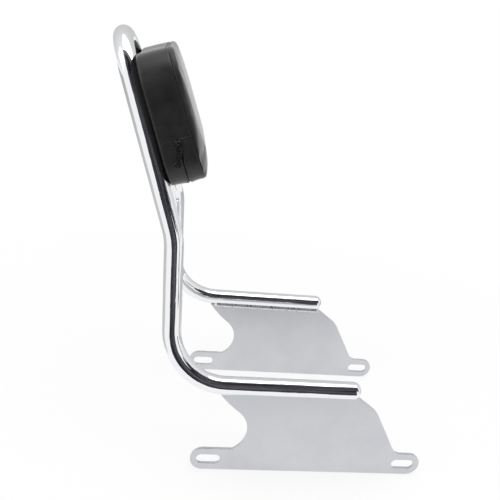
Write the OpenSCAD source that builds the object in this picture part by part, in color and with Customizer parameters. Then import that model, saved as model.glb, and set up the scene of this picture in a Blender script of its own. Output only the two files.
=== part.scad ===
// Sissy bar: one bent, plated tube on two slotted side plates, with a zipped backrest pad.
// Millimetres. X points to the front of the motorcycle, Y to the rider's left and Z up.
// The straight lower edges of the side plates lie at Z = 0.

/* [Tube hoop] */
// Outside diameter of the tube
tube_d = 22; // [19:0.5:25]
// Wall of the tube
tube_wall = 2; // [1.5:0.25:3]
// Distance between the axes of the two rails
rail_spacing = 234; // [210:1:260]
// Height of the rail axes above the lower edges of the plates
rail_height = 127; // [115:1:150]
// Distance from the rear slot forward to the tips of the rails
rail_reach = 175; // [165:1:185]
// Distance from the rear slot back to the corner of the lower bend
leg_setback = 54.5; // [45:0.5:70]
// Backward lean of the lower legs, in degrees
leg_lean = 2.8; // [0:0.2:6]
// Length of the lower legs between their bend corners, seen from the side
leg_length = 167; // [150:1:200]
// Distance between the axes of the legs at the upper bend
bend_spacing = 164; // [150:1:190]
// Backward lean of the uprights, in degrees
upright_lean = 19.4; // [12:0.2:26]
// Slope length from the upper bend to the axis at the top of the loop
upright_length = 214; // [208:1:250]
// Radius of the lower bends at the tube axis
lower_bend_r = 68; // [55:1:80]
// Radius of the upper bends at the tube axis
upper_bend_r = 85; // [60:1:120]
// Radius of the loop at the top, at the tube axis
top_loop_r = 48; // [44:1:54]
// Height of the domed cap on each rail
cap_dome = 9; // [4:0.5:11]
// Length of the cap's plug inside the tube
cap_plug = 8; // [5:0.5:15]

/* [Side plates] */
// Thickness of the side plates
plate_t = 3.5; // [3:0.25:6]
// Distance from the rail axis inwards to the middle of the plate
plate_inset = 4.5; // [3:0.25:6]
// Distance between the two slots of a plate
slot_spacing = 253; // [240:1:280]
// Width of a slot
slot_w = 13; // [8:0.5:14]
// Length of a slot
slot_l = 30; // [22:0.5:32]
// Height of the ears that hold the slots
ear_h = 32; // [28:1:40]
// Distance from the middle of a slot to the end of its ear
ear_reach = 22.5; // [20:0.5:28]
// Distance from the rear slot to the middle of the rear notch
notch_x = 10; // [4:0.5:16]
// Height of the middle of the rear notch
notch_z = 60.5; // [56:0.5:66]
// Radius of the rear notch
notch_r = 34; // [30:0.5:38]
// Radius of the shoulder between the notch and the tube
shoulder_r = 150; // [110:1:200]
// Angle at which the notch turns into the shoulder, in degrees
shoulder_angle = 52; // [46:1:56]
// Drop from the tube to the corner of the front edge
brow_drop = 21; // [14:1:28]
// Distance from the tip of the rail forward to that corner
brow_reach = 28; // [20:1:36]
// Radius of that corner
brow_r = 42; // [8:1:50]
// Distance from the front slot back to the foot of the front edge
foot_back = 13.5; // [6:0.5:20]
// Radius of the inner corner at the foot of the front edge
foot_r = 14; // [3:1:18]
// Radius of the weld bead under each rail
bead_r = 3.2; // [2.5:0.1:4]

/* [Cross straps] */
// Thickness of the cross straps
strap_t = 4; // [3:0.5:5]
// Height of the cross straps
strap_h = 24; // [20:1:28]
// Slope distance from the top of the loop down to the middle of the lower strap
strap_low_drop = 130; // [119:1:134]
// Slope distance from the top of the loop down to the middle of the upper strap
strap_high_drop = 62; // [56:1:74]
// Radius of the weld bead behind each strap end
strap_bead_r = 2.4; // [2:0.1:3]

/* [Pad] */
// Width of the pad
pad_w = 172; // [160:1:190]
// Height of the pad along the uprights
pad_h = 143; // [138:1:150]
// Slope distance from the top of the loop down to the foot of the pad
pad_drop = 163; // [154:1:169]
// Depth of the side band at the foot of the pad
depth_low = 39; // [36:0.5:44]
// Depth of the side band at the head of the pad
depth_high = 35; // [33:0.5:42]
// Rise of the front panel's rounded edge above the side band
edge_rise = 6; // [4:0.5:9]
// Extra rise of the front panel at its middle
crown = 3; // [1:0.5:6]
// Corner radius of the pad seen from the front
corner_r = 35; // [28:1:38]
// Thickness of the leatherette cover
cover_t = 1.2; // [0.8:0.1:2]
// Thickness of the base board
board_t = 9; // [8:0.5:12]
// Gap that keeps the filling clear of the cover
fill_gap = 0.3; // [0.2:0.1:1]

/* [Zip] */
// Distance from the back of the pad to the middle of the zip
zip_depth = 21; // [19:0.5:23]
// Height of the cross seam that ends the zipped band, above the foot of the pad
zip_top = 55; // [54:0.5:60]
// Half of the gap between the two facings
facing_gap = 5.2; // [4.8:0.1:6]
// Half width of the zip tapes
tape_half = 11; // [9:0.5:13]
// Thickness of the zip tapes
tape_t = 0.8; // [0.5:0.1:1.2]
// Width of the slit between the two coils
slit_w = 1; // [0.9:0.05:1.4]
// Width of one coil
coil_w = 2.6; // [2:0.1:3]
// Height of a coil above its tape
coil_h = 1.6; // [1.2:0.1:2]
// Depth of the notches between the teeth
tooth_depth = 0.8; // [0.4:0.1:1]
// Pitch of the teeth
tooth_pitch = 2; // [1.6:0.1:3]
// Length of the slider
slider_l = 9; // [8:0.25:10]
// Width of the slider
slider_w = 8.4; // [7.6:0.2:9]
// Thickness of the slider's plates
slider_t = 0.9; // [0.6:0.1:1.2]
// Travel of the slider down the straight side of the pad
zip_travel = 6; // [3:0.5:8]
// Width of the pull tab
pull_w = 7; // [6.6:0.1:8]
// Length of the pull from its bar to its lower end
pull_l = 22; // [16:0.5:28]
// Thickness of the pull tab
pull_t = 1.3; // [1:0.1:1.6]
// Running clearance round the slider and the pull
run_gap = 0.3; // [0.2:0.05:0.4]

/* [Pad screws] */
// Thread diameter of the pad screws
screw_d = 6; // [5:0.5:8]
// Length of the pad screws under the head
screw_l = 16; // [14:0.5:18]
// Distance between the two screws of a strap
screw_spacing = 50; // [40:1:56]
// Width across the flats of the screw heads
head_af = 10; // [8:0.5:13]
// Height of the screw heads
head_h = 4; // [3:0.5:5]
// Outside diameter of the flat washers
washer_d = 12; // [11:0.5:16]
// Thickness of the flat washers and of the spring washers
washer_t = 1.6; // [1:0.1:2]
// Play between a screw and the holes it passes through
hole_play = 0.6; // [0.4:0.1:1]
// Diameter of the flange on the threaded inserts
flange_d = 17; // [14:0.5:20]
// Thickness of that flange
flange_t = 1.3; // [1:0.1:2]
// Wall of the threaded inserts
insert_wall = 1; // [0.8:0.1:1.5]

/* [Hidden] */
$fn = 96;
eps = 0.05;
fit_play = 0.05;

// Straight stretches of the hoop enter the bends by lap, and the bends are thicker by swell,
// so that no two round faces of the tube lie on each other
lap = 0.5;
swell = 0.02;

tube_r = tube_d / 2;
bore_r = tube_r - tube_wall;
half_rail = rail_spacing / 2;
half_bend = bend_spacing / 2;

// Corner points of the right leg's axis, with the rear slot at X = 0
lower_corner = [-leg_setback, -half_rail, rail_height];
upper_x = -leg_setback - leg_length * sin(leg_lean);
upper_z = rail_height + leg_length * cos(leg_lean);
upper_corner = [upper_x, -half_bend, upper_z];
rail_end = [rail_reach - cap_dome, -half_rail, rail_height];

// Places of the straps and the pad on the slope, measured up from the upper bend
strap_low = upright_length - strap_low_drop;
strap_high = upright_length - strap_high_drop;
pad_low = upright_length - pad_drop;

// The loop in the plane of the uprights: height of its centre and inward lean of the uprights
loop_centre = upright_length - top_loop_r;
loop_far = norm([half_bend, loop_centre]);
inward_lean = acos(top_loop_r / loop_far) - atan2(loop_centre, half_bend);

// Directions of travel along the right leg, from the rail tip to the loop
rail_dir = [-1, 0, 0];
leg_dir = unit(upper_corner - lower_corner);
upright_dir = slope_dir([0, sin(inward_lean), cos(inward_lean)]);
loop_start = slope_point([0, -top_loop_r * cos(inward_lean), loop_centre + top_loop_r * sin(inward_lean)]);
cut_low = bend_cut(rail_dir, leg_dir, lower_bend_r);
cut_high = bend_cut(leg_dir, upright_dir, upper_bend_r);

// Rolls of the two bends about the tube, on the way down from the loop
side_x = slope_dir([0, cos(inward_lean), -sin(inward_lean)]);
side_y = slope_dir([1, 0, 0]);
roll_high = atan2(-leg_dir * side_y, -leg_dir * side_x);
roll_low = atan2(
    -rail_dir * carried(side_y, -upright_dir, -leg_dir),
    -rail_dir * carried(side_x, -upright_dir, -leg_dir)
);

// The overall box, whose middle becomes the origin
rear_end = upper_x - upright_length * sin(upright_lean) - tube_r;
front_end = slot_spacing + ear_reach;
origin_x = (rear_end + front_end) / 2;

plate_y = half_rail - plate_inset;
plate_top = rail_height - sqrt(tube_r * tube_r - pow(plate_inset - plate_t / 2, 2));
strap_end = sqrt(tube_r * tube_r - pow(tube_r - strap_t, 2));

half_pad = pad_w / 2;
fill_inset = cover_t + tape_t + fill_gap;
board_front = cover_t + board_t;
depth_slope = (depth_high - depth_low) / pad_h;
tape_out = cover_t;
coil_out = cover_t - coil_h;
slider_top_z = zip_top - 3.5;
slider_mid = slider_top_z - slider_l / 2;
bar_d = 1.4;
tunnel_l = 4.6;
bail_y = half_pad - coil_out + run_gap + slider_t;
bar_y = bail_y + bar_d / 2 + run_gap;

// A vector of length one
function unit(v) = v / norm(v);

// Turns a direction, or a point, from the plane of the uprights into the frame of the bar
function slope_dir(v) = [
    v.x * cos(upright_lean) - v.z * sin(upright_lean),
    v.y,
    v.x * sin(upright_lean) + v.z * cos(upright_lean)
];
function slope_point(v) = [upper_x, 0, upper_z] + slope_dir(v);

// Half distance between the upright axes at a height on the slope
function upright_y(s) = half_bend - s * tan(inward_lean);

// A vector across direction a, carried round a bend that turns a into b
function carried(v, a, b) = v - (v * b) / (1 + a * b) * (a + b);

// Length from a bend's corner to where its arc starts
function bend_cut(a, b, r) = r * tan(acos(a * b) / 2);

// Moves its children to the plane of the uprights: X forwards, Z up the slope
module on_slope() {
    translate([upper_x, 0, upper_z])
        rotate([0, -upright_lean, 0])
            children();
}

// Moves its children to the foot of the pad, with X = 0 on its back
module on_pad() {
    on_slope()
        translate([tube_r, 0, pad_low])
            children();
}

// Puts the middle of the overall box at the origin
module in_place() {
    translate([-origin_x, 0, 0])
        children();
}

// A straight stretch of the hoop: a round bar along Z, with its children at the far end
module run(length, r) {
    translate([0, 0, -lap])
        cylinder(h = length + 2 * lap, r = r);
    translate([0, 0, length])
        children();
}

// Moves its children round a bend that leads from Z towards X
module past_bend(angle, bend_r) {
    translate([bend_r, 0, 0])
        rotate([0, angle, 0])
            translate([-bend_r, 0, 0])
                children();
}

// A bend of the hoop, rolled about Z, with its children at the far end
module turn(angle, bend_r, r, roll) {
    rotate([0, 0, roll]) {
        translate([bend_r, 0, 0])
            rotate([90, 0, 180])
                rotate_extrude(angle = angle)
                    translate([bend_r, 0])
                        rotate(roll)
                            circle(r = r + swell);
        past_bend(angle, bend_r)
            rotate([0, 0, -roll])
                children();
    }
}

// Moves its children to the top of the loop, with Z along the tube
module at_loop() {
    on_slope()
        translate([0, 0, upright_length])
            rotate([90, 90, 0])
                children();
}

// The whole path of the hoop as a solid bar, with its ends lengthened by more
module hoop_path(r, more) {
    half_loop = 90 - inward_lean;
    upright_run = norm(loop_start - upper_corner) - cut_high;
    leg_run = norm(upper_corner - lower_corner) - cut_high - cut_low;
    rail_run = norm(rail_end - lower_corner) - cut_low;
    at_loop()
        translate([top_loop_r, 0, 0])
            rotate([90, 0, 180])
                rotate([0, 0, -half_loop])
                    rotate_extrude(angle = 2 * half_loop)
                        translate([top_loop_r, 0])
                            circle(r = r + swell);
    for (side = [0, 1])
        mirror([0, side, 0])
            at_loop()
                past_bend(half_loop, top_loop_r)
                    run(upright_run, r)
                        turn(acos(leg_dir * upright_dir), upper_bend_r, r, roll_high)
                            run(leg_run, r)
                                turn(acos(rail_dir * leg_dir), lower_bend_r, r, roll_low)
                                    run(rail_run - lap + more, r);
}

module hoop_tube() {
    color("gainsboro")
        in_place()
            difference() {
                hoop_path(tube_r, 0);
                hoop_path(bore_r, 1);
            }
}

// A domed cap that closes a rail, plugged into its bore and welded round
module end_cap(side) {
    dome_r = (tube_r * tube_r + cap_dome * cap_dome) / (2 * cap_dome);
    color("gainsboro")
        in_place()
            translate([rail_end.x, side * half_rail, rail_height])
                rotate([0, 90, 0]) {
                    intersection() {
                        translate([0, 0, cap_dome - dome_r])
                            sphere(r = dome_r);
                        cylinder(h = cap_dome + 1, r = tube_r);
                    }
                    translate([0, 0, -cap_plug])
                        cylinder(h = cap_plug + eps, r = bore_r - fit_play);
                }
}

module right_end_cap() {
    end_cap(-1);
}

module left_end_cap() {
    end_cap(1);
}

// Centre of a round of radius r in the corner p between the directions a and b
function round_centre(p, a, b, r) = p + unit(a + b) * r / sin(acos(a * b) / 2);

// Distance from that corner to where the round starts
function round_cut(a, b, r) = r / tan(acos(a * b) / 2);

// A slot with round ends
module slot(at) {
    translate(at) {
        square([slot_l - slot_w, slot_w], center = true);
        for (end = [-1, 1])
            translate([end * (slot_l - slot_w) / 2, 0])
                circle(d = slot_w);
    }
}

// The strip along the lower edge, with a round ear at each end
module ear_strip() {
    rear = -ear_reach + ear_h / 2;
    front = slot_spacing + ear_reach - ear_h / 2;
    translate([rear, 0])
        square([front - rear, ear_h]);
    for (x = [rear, front])
        translate([x, ear_h / 2])
            circle(d = ear_h);
}

// What the rear edge leaves open: the round notch and the long shoulder above it
module rear_cut() {
    notch = [notch_x, notch_z];
    shoulder = notch + (notch_r + shoulder_r) * [cos(shoulder_angle), sin(shoulder_angle)];
    far = 3 * notch_r;
    translate(notch)
        circle(r = notch_r);
    translate([notch_x - far, ear_h / 2])
        square([far, notch_z - ear_h / 2]);
    difference() {
        polygon([notch, shoulder, [notch_x - far, shoulder.y], [notch_x - far, notch_z]]);
        translate(shoulder)
            circle(r = shoulder_r, $fn = 360);
    }
}

// The plate above its ears: rear notch, top under the tube, sloping front edge
module plate_web() {
    rear = -ear_reach + ear_h / 2;
    tip = [rail_reach - 0.5, plate_top];
    brow = [rail_reach + brow_reach, plate_top - brow_drop];
    foot = [slot_spacing - foot_back, ear_h];
    up = unit(tip - brow);
    down = unit(foot - brow);
    ahead = [1, 0];
    brow_cut = round_cut(up, down, brow_r);
    foot_cut = round_cut(-down, ahead, foot_r) + 0.3;
    difference() {
        polygon([
            [rear, ear_h / 2], [foot.x + foot_cut, ear_h / 2], foot + [foot_cut, 0],
            foot - down * foot_cut, brow + down * brow_cut, brow + up * brow_cut,
            tip, [rear, plate_top]
        ]);
        translate(round_centre(foot, -down, ahead, foot_r))
            circle(r = foot_r + swell);
        intersection() {
            rear_cut();
            translate([notch_x - 4 * notch_r, ear_h])
                square([8 * notch_r, rail_height]);
        }
    }
    translate(round_centre(brow, up, down, brow_r))
        circle(r = brow_r);
}

module side_plate(side) {
    color("silver")
        in_place()
            translate([0, side * plate_y + plate_t / 2, 0])
                rotate([90, 0, 0])
                    linear_extrude(plate_t)
                        difference() {
                            union() {
                                ear_strip();
                                plate_web();
                            }
                            slot([0, ear_h / 2]);
                            slot([slot_spacing, ear_h / 2]);
                        }
}

module right_side_plate() {
    side_plate(-1);
}

module left_side_plate() {
    side_plate(1);
}

// The bead in the groove between the underside of the rail and the plate's inner face
module plate_weld(side) {
    inner = half_rail - plate_inset - plate_t / 2;
    rear = notch_x - 2;
    length = rail_reach - 4 - rear;
    color("silver")
        in_place()
            translate([rear, 0, 0])
                rotate([90, 0, 90])
                    linear_extrude(length)
                        difference() {
                            translate([side * (inner - bead_r / 4), plate_top])
                                circle(r = bead_r);
                            translate([side * half_rail, rail_height])
                                circle(r = tube_r + swell);
                            translate([side * plate_y - plate_t / 2, 0])
                                square([plate_t, plate_top]);
                        }
}

module right_plate_weld() {
    plate_weld(-1);
}

module left_plate_weld() {
    plate_weld(1);
}

// Draws a flat outline, given in Y and Z, from depth a to depth b
module sheet(a, b) {
    translate([a, 0, 0])
        rotate([90, 0, 90])
            linear_extrude(b - a)
                children();
}

// A flat strap between the uprights, its face level with the front of the tubes
module cross_strap(s) {
    low = s - strap_h / 2;
    high = s + strap_h / 2;
    back = strap_end / cos(inward_lean);
    color("silver")
        in_place()
            on_slope()
                sheet(tube_r - strap_t, tube_r)
                    difference() {
                        polygon([
                            [-upright_y(low) + back, low], [upright_y(low) - back, low],
                            [upright_y(high) - back, high], [-upright_y(high) + back, high]
                        ]);
                        for (y = [-1, 1])
                            translate([y * screw_spacing / 2, s])
                                circle(d = screw_d + hole_play);
                    }
}

module upper_cross_strap() {
    cross_strap(strap_high);
}

module lower_cross_strap() {
    cross_strap(strap_low);
}

// Beads at both ends of a strap: one in the groove at the front, ground flat, one behind
module strap_welds(s) {
    color("silver")
        in_place()
            on_slope()
                for (side = [0, 1])
                    mirror([0, side, 0])
                        translate([0, -upright_y(s), s])
                            rotate([-inward_lean, 0, 0])
                                translate([0, 0, -strap_h / 2 + 1])
                                    linear_extrude(strap_h - 2)
                                        difference() {
                                            union() {
                                                translate([tube_r - strap_t, 0])
                                                    square([strap_t - 0.4, strap_end]);
                                                translate([tube_r - strap_t, strap_end])
                                                    circle(r = strap_bead_r);
                                            }
                                            circle(r = tube_r);
                                            translate([tube_r - strap_t, strap_end])
                                                square([2 * strap_t, 2 * strap_t]);
                                        }
}

module upper_strap_welds() {
    strap_welds(strap_high);
}

module lower_strap_welds() {
    strap_welds(strap_low);
}

// Outline of the pad seen from the front, made smaller all round by inset
module pad_outline(inset) {
    r = corner_r - inset;
    translate([-half_pad + inset, corner_r])
        square([pad_w - 2 * inset, pad_h - 2 * corner_r]);
    translate([-half_pad + corner_r, inset])
        square([pad_w - 2 * corner_r, pad_h - 2 * inset]);
    for (y = [-1, 1])
        for (z = [corner_r, pad_h - corner_r])
            translate([y * (half_pad - corner_r), z])
                circle(r = r);
}

// The band between two insets of the pad's outline
module pad_band(outer, inner) {
    difference() {
        pad_outline(outer);
        pad_outline(inner);
    }
}

// Depth of the seam between side band and front panel at a height above the foot
function seam_depth(z) = depth_low + depth_slope * z;

// Everything behind that seam, between two heights
module behind_seam(low, high) {
    translate([0, pad_w, 0])
        rotate([90, 0, 0])
            linear_extrude(2 * pad_w)
                polygon([[0, low], [seam_depth(low), low], [seam_depth(high), high], [0, high]]);
}

// One rounded corner column of the pad, from depth a to its front
module pad_column(z, inset, a) {
    r = corner_r - inset;
    top = seam_depth(z) + edge_rise - inset;
    edge = edge_rise;
    arc = [for (i = [0:6]) [r - edge + edge * cos(i * 15), top - edge + edge * sin(i * 15)]];
    rotate([0, 90, 0])
        rotate_extrude($fn = 32)
            polygon(concat([[0, a], [r, a]], arc, [[0, top]]));
}

// The pad as one crowned block, from depth a to its front
module pad_block(inset, a) {
    hull() {
        for (y = [-1, 1])
            for (z = [corner_r, pad_h - corner_r])
                translate([0, y * (half_pad - corner_r), z])
                    pad_column(z, inset, a);
        translate([seam_depth(pad_h / 2) + edge_rise + crown - inset - 1, 0, pad_h / 2])
            rotate([0, 90, 0])
                cylinder(h = 1, r = half_pad / 3, $fn = 32);
    }
}

// Its children at each of the four pad screws, with X = 0 on the back of the pad
module at_screws() {
    for (s = [strap_low, strap_high])
        for (y = [-1, 1])
            translate([0, y * screw_spacing / 2, s - pad_low])
                rotate([0, 90, 0])
                    children();
}

module pad_base_board() {
    color("burlywood")
        in_place()
            on_pad()
                difference() {
                    sheet(cover_t, board_front)
                        pad_outline(fill_inset + slider_t + run_gap);
                    at_screws()
                        cylinder(h = 2 * board_front, d = screw_d + 2 * insert_wall + 4 * fit_play);
                }
}

module pad_foam() {
    color("dimgray")
        in_place()
            on_pad()
                difference() {
                    pad_block(fill_inset, board_front);
                    at_screws()
                        cylinder(h = board_front + flange_t + fill_gap, d = flange_d + 2 * fill_gap);
                    slider_groove();
                }
}

// Room in the filling for the slider's inner plate, over its whole travel
module slider_groove() {
    low = slider_mid - slider_l / 2 - zip_travel - 1;
    translate([zip_depth - slider_w / 2 - run_gap, -half_pad, low])
        cube([slider_w + 2 * run_gap, fill_inset + slider_t + 2 * run_gap, slider_l + zip_travel + 2]);
}

module back_panel() {
    color("#1d1d1f")
        in_place()
            on_pad()
                difference() {
                    sheet(0, cover_t)
                        pad_outline(0);
                    at_screws()
                        translate([0, 0, -1])
                            cylinder(h = cover_t + 2, d = screw_d + 2 * hole_play);
                }
}

module front_panel() {
    color("#2b2b2d")
        in_place()
            on_pad()
                difference() {
                    pad_block(0, cover_t);
                    pad_block(cover_t, 0);
                    behind_seam(-corner_r, pad_h + corner_r);
                }
}

// The plain upper part of the side band, over the head of the pad
module side_gusset() {
    color("#28282a")
        in_place()
            on_pad()
                intersection() {
                    sheet(cover_t, 2 * depth_low)
                        pad_band(0, cover_t);
                    behind_seam(zip_top, pad_h + 1);
                }
}

// The two halves of the lower side band, sewn to the zip tapes
module rear_zip_facing() {
    color("#28282a")
        in_place()
            on_pad()
                intersection() {
                    sheet(cover_t, zip_depth - facing_gap)
                        pad_band(0, cover_t);
                    behind_seam(-1, zip_top);
                }
}

module front_zip_facing() {
    color("#28282a")
        in_place()
            on_pad()
                intersection() {
                    sheet(zip_depth + facing_gap, 2 * depth_low)
                        pad_band(0, cover_t);
                    behind_seam(-1, zip_top);
                }
}

// One tape of the zip, under its facing; side is -1 for the rear one and 1 for the front one
module zip_tape(side) {
    near = zip_depth + side * slit_w / 2;
    far = zip_depth + side * tape_half;
    color("#1a1a1b")
        in_place()
            on_pad()
                intersection() {
                    sheet(min(near, far), max(near, far))
                        pad_band(tape_out, tape_out + tape_t);
                    behind_seam(-1, zip_top);
                }
}

module rear_zip_tape() {
    zip_tape(-1);
}

module front_zip_tape() {
    zip_tape(1);
}

// The zip runs down one side of the pad, round the foot and up the other side.
// A point at distance u from the middle of the foot, set out from the outline by out.
half_flat = half_pad - corner_r;
corner_run = corner_r * PI / 2;
zip_run = half_flat + corner_run + slider_top_z - corner_r;
function run_point(u, out) =
    let (d = abs(u), way = sign(u), turn = (d - half_flat) / corner_r * 180 / PI)
    d <= half_flat ? [u, -out] :
    turn <= 90 ? [
        way * (half_flat + (corner_r + out) * sin(turn)),
        corner_r - (corner_r + out) * cos(turn)
    ] :
    [way * (half_pad + out), corner_r + d - half_flat - corner_run];

// One coil as a toothed band: a notch in its outer face at every pitch
module zip_coil(side) {
    teeth = floor(zip_run / tooth_pitch);
    low = -coil_out - tooth_depth;
    crests = [for (i = [-teeth:teeth - 1]) each [
        run_point((i + 0.05) * tooth_pitch, -coil_out),
        run_point((i + 0.6) * tooth_pitch, -coil_out),
        run_point((i + 0.65) * tooth_pitch, low),
        run_point((i + 1) * tooth_pitch, low)
    ]];
    sole = [for (i = [teeth:-1:-teeth]) run_point(i * tooth_pitch, fit_play - tape_out)];
    near = zip_depth + side * slit_w / 2;
    far = zip_depth + side * (slit_w / 2 + coil_w);
    color("#151516")
        in_place()
            on_pad()
                sheet(min(near, far), max(near, far))
                    polygon(concat(crests, sole));
}

module rear_zip_coil() {
    zip_coil(-1);
}

module front_zip_coil() {
    zip_coil(1);
}

// Metal clips that close the ends of both coils
module zip_stops() {
    color("silver")
        in_place()
            on_pad()
                for (side = [-1, 1])
                    for (y = [-1, 1])
                        translate([
                            zip_depth + side * (slit_w + coil_w) / 2 - coil_w / 2,
                            y * (half_pad - (coil_out + tape_out) / 2) - (tape_out - coil_out) / 2,
                            slider_top_z + run_gap
                        ])
                            cube([coil_w, tape_out - coil_out, 2]);
}

// The slider: an outer and an inner plate joined by a thin neck, and the bail for the pull
module zip_slider() {
    outer = half_pad - coil_out + run_gap;
    inner = half_pad - tape_out - tape_t - run_gap;
    neck = slit_w - 2 * run_gap + 0.1;
    color("dimgray")
        in_place()
            on_pad()
                translate([zip_depth, 0, slider_mid]) {
                    slider_plate(outer, slider_w / 2, slider_w / 3);
                    slider_plate(inner - slider_t, slider_w / 2 - 0.4, slider_w / 3 - 0.4);
                    translate([-neck / 2, -outer - eps, slider_l / 4 - 1])
                        cube([neck, outer - inner + 2 * eps, 2]);
                    bail();
                }
}

// A slider plate that narrows towards its closed end, its inner face at distance y
module slider_plate(y, wide, narrow) {
    half = slider_l / 2;
    translate([0, -y, 0])
        rotate([90, 0, 0])
            linear_extrude(slider_t)
                polygon([
                    [-narrow, -half], [narrow, -half], [wide, -half / 4], [wide, half],
                    [-wide, half], [-wide, -half / 4]
                ]);
}

// The arch that traps the pull's bar
module bail() {
    wall = 0.8;
    length = tunnel_l + 2 * wall;
    rise = bar_d + 2 * run_gap + wall;
    translate([0, -bail_y, 0])
        rotate([0, 90, 0])
            linear_extrude(2, center = true)
                difference() {
                    translate([-length / 2, -rise])
                        square([length, rise + eps]);
                    translate([-tunnel_l / 2, -rise + wall])
                        square([tunnel_l, rise]);
                }
}

// The pull hangs straight down from the bail: a bar, two arms and a rimmed tab
module zip_pull() {
    pivot = slope_point([tube_r + zip_depth, -bar_y, pad_low + slider_mid]);
    arm = 1;
    eye = 5;
    rim = 0.9;
    color("gray")
        in_place()
            translate(pivot) {
                rotate([0, 90, 0])
                    cylinder(h = pull_w, d = bar_d, center = true, $fn = 24);
                for (side = [-1, 1])
                    translate([side * (pull_w - arm) / 2 - arm / 2, -pull_t / 2, -eye - eps])
                        cube([arm, pull_t, eye + eps]);
                difference() {
                    translate([-pull_w / 2, -pull_t / 2, -pull_l])
                        cube([pull_w, pull_t, pull_l - eye]);
                    for (side = [-1, 1])
                        translate([-pull_w / 2 + rim, side * pull_t / 2 - 0.3, -pull_l + 4])
                            cube([pull_w - 2 * rim, 0.6, pull_l - eye - 5]);
                    translate([0, 0, -pull_l + 2.2])
                        rotate([90, 0, 0])
                            cylinder(h = 2 * pull_t, d = 1.8, center = true, $fn = 24);
                }
            }
}

// Hexagon screws that hold the pad to the straps from behind
module pad_screws() {
    under_head = -strap_t - 2 * washer_t;
    color("silver")
        in_place()
            on_pad()
                at_screws()
                    translate([0, 0, under_head]) {
                        translate([0, 0, -eps])
                            cylinder(h = screw_l + eps, d = screw_d);
                        translate([0, 0, -head_h])
                            cylinder(h = head_h, d = head_af / cos(30), $fn = 6);
                    }
}

// A ring on the axis of each pad screw
module screw_rings(from, to, outer, inner) {
    at_screws()
        translate([0, 0, from])
            difference() {
                cylinder(h = to - from, d = outer);
                translate([0, 0, -1])
                    cylinder(h = to - from + 2, d = inner);
            }
}

// Split rings under the screw heads
module spring_washers() {
    color("silver")
        in_place()
            on_pad()
                difference() {
                    screw_rings(-strap_t - 2 * washer_t, -strap_t - washer_t, head_af + 1, screw_d + hole_play / 2);
                    at_screws()
                        translate([0, -0.4, -strap_t - 3 * washer_t])
                            cube([head_af, 0.8, 3 * washer_t]);
                }
}

module flat_washers() {
    color("silver")
        in_place()
            on_pad()
                screw_rings(-strap_t - washer_t, -strap_t, washer_d, screw_d + hole_play);
}

// Flanged inserts pressed into the base board from the front
module threaded_inserts() {
    outer = screw_d + 2 * insert_wall;
    inner = screw_d + 2 * fit_play;
    color("silver")
        in_place()
            on_pad() {
                screw_rings(cover_t + 1, board_front + eps, outer, inner);
                screw_rings(board_front, board_front + flange_t, flange_d, inner);
            }
}

hoop_tube();
right_end_cap();
left_end_cap();
right_side_plate();
left_side_plate();
right_plate_weld();
left_plate_weld();
upper_cross_strap();
lower_cross_strap();
upper_strap_welds();
lower_strap_welds();
pad_base_board();
pad_foam();
back_panel();
front_panel();
side_gusset();
rear_zip_facing();
front_zip_facing();
rear_zip_tape();
front_zip_tape();
rear_zip_coil();
front_zip_coil();
zip_stops();
zip_slider();
zip_pull();
pad_screws();
spring_washers();
flat_washers();
threaded_inserts();
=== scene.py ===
# Sissy bar: one bent chrome tube on two slotted side plates, with a zipped backrest pad.
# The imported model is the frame: metres, X to the front of the motorcycle, Y to the rider's
# left, Z up, the lower edges of the plates on the floor. Sizes below are in millimetres.
import math

import bmesh
import bpy
import numpy as np
from mathutils import Matrix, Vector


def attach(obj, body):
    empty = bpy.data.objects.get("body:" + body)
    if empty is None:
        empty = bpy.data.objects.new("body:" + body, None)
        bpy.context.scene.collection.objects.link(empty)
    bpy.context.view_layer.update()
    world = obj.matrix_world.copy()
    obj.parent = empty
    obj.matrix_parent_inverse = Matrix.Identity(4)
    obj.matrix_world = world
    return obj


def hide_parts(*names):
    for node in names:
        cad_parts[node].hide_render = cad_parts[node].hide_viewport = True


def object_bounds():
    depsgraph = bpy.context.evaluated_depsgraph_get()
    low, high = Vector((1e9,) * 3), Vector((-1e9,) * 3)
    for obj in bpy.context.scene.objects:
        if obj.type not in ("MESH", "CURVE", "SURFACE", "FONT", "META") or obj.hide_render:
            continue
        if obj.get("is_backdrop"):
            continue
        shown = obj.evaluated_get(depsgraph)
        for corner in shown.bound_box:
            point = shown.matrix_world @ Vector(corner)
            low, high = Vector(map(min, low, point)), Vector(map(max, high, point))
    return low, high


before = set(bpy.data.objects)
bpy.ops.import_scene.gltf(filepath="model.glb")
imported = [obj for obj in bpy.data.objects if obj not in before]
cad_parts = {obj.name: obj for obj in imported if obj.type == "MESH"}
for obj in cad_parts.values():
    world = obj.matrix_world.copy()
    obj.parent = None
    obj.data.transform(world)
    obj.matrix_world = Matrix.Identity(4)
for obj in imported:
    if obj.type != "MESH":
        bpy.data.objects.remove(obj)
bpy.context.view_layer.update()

# The studio
# A white table and a white room, a large soft box above and a smaller one from the left.
# Black flags stand beside the camera, as photographers set them up to draw chrome.

scene = bpy.context.scene
scene.view_settings.view_transform = "Standard"


def linear(code):
    """Linear colour of an sRGB hex code: c/12.92 below 0.04045, else ((c+0.055)/1.055)^2.4."""
    c = np.array([int(code[i:i + 2], 16) for i in (0, 2, 4)]) / 255
    c = np.where(c <= 0.04045, c / 12.92, ((c + 0.055) / 1.055) ** 2.4)
    return (*c.tolist(), 1.0)


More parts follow.
